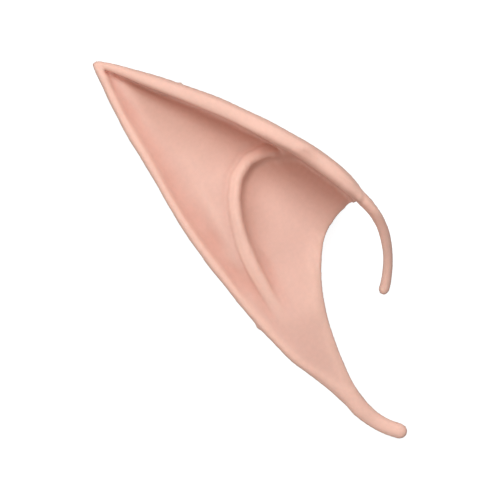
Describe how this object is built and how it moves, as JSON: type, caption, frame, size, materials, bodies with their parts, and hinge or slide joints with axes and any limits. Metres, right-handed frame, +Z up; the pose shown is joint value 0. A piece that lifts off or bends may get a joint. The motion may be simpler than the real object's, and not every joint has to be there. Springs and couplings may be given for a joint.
{
  "type": "pointed elf ear tip",
  "caption": "Hollow pointed latex ear with a rolled front rim ending in a hook, a long tail, a raised inner fold and an open pocket for the wearer's ear.",
  "frame": {"origin": "on the surface that the ear lies on, below the middle of its bounding box", "axes": "+Y from the tail's end towards the tip, +X towards the rolled front rim and the hook, +Z up out of the ear's face, away from the wearer's head"},
  "size_m": [0.0422, 0.1222, 0.0181],
  "materials": {
    "latex": "matte moulded natural latex, warm tan flesh colour"
  },
  "bodies": {
    "root": {"ear_moulding": "latex"}
  },
  "joints": []
}
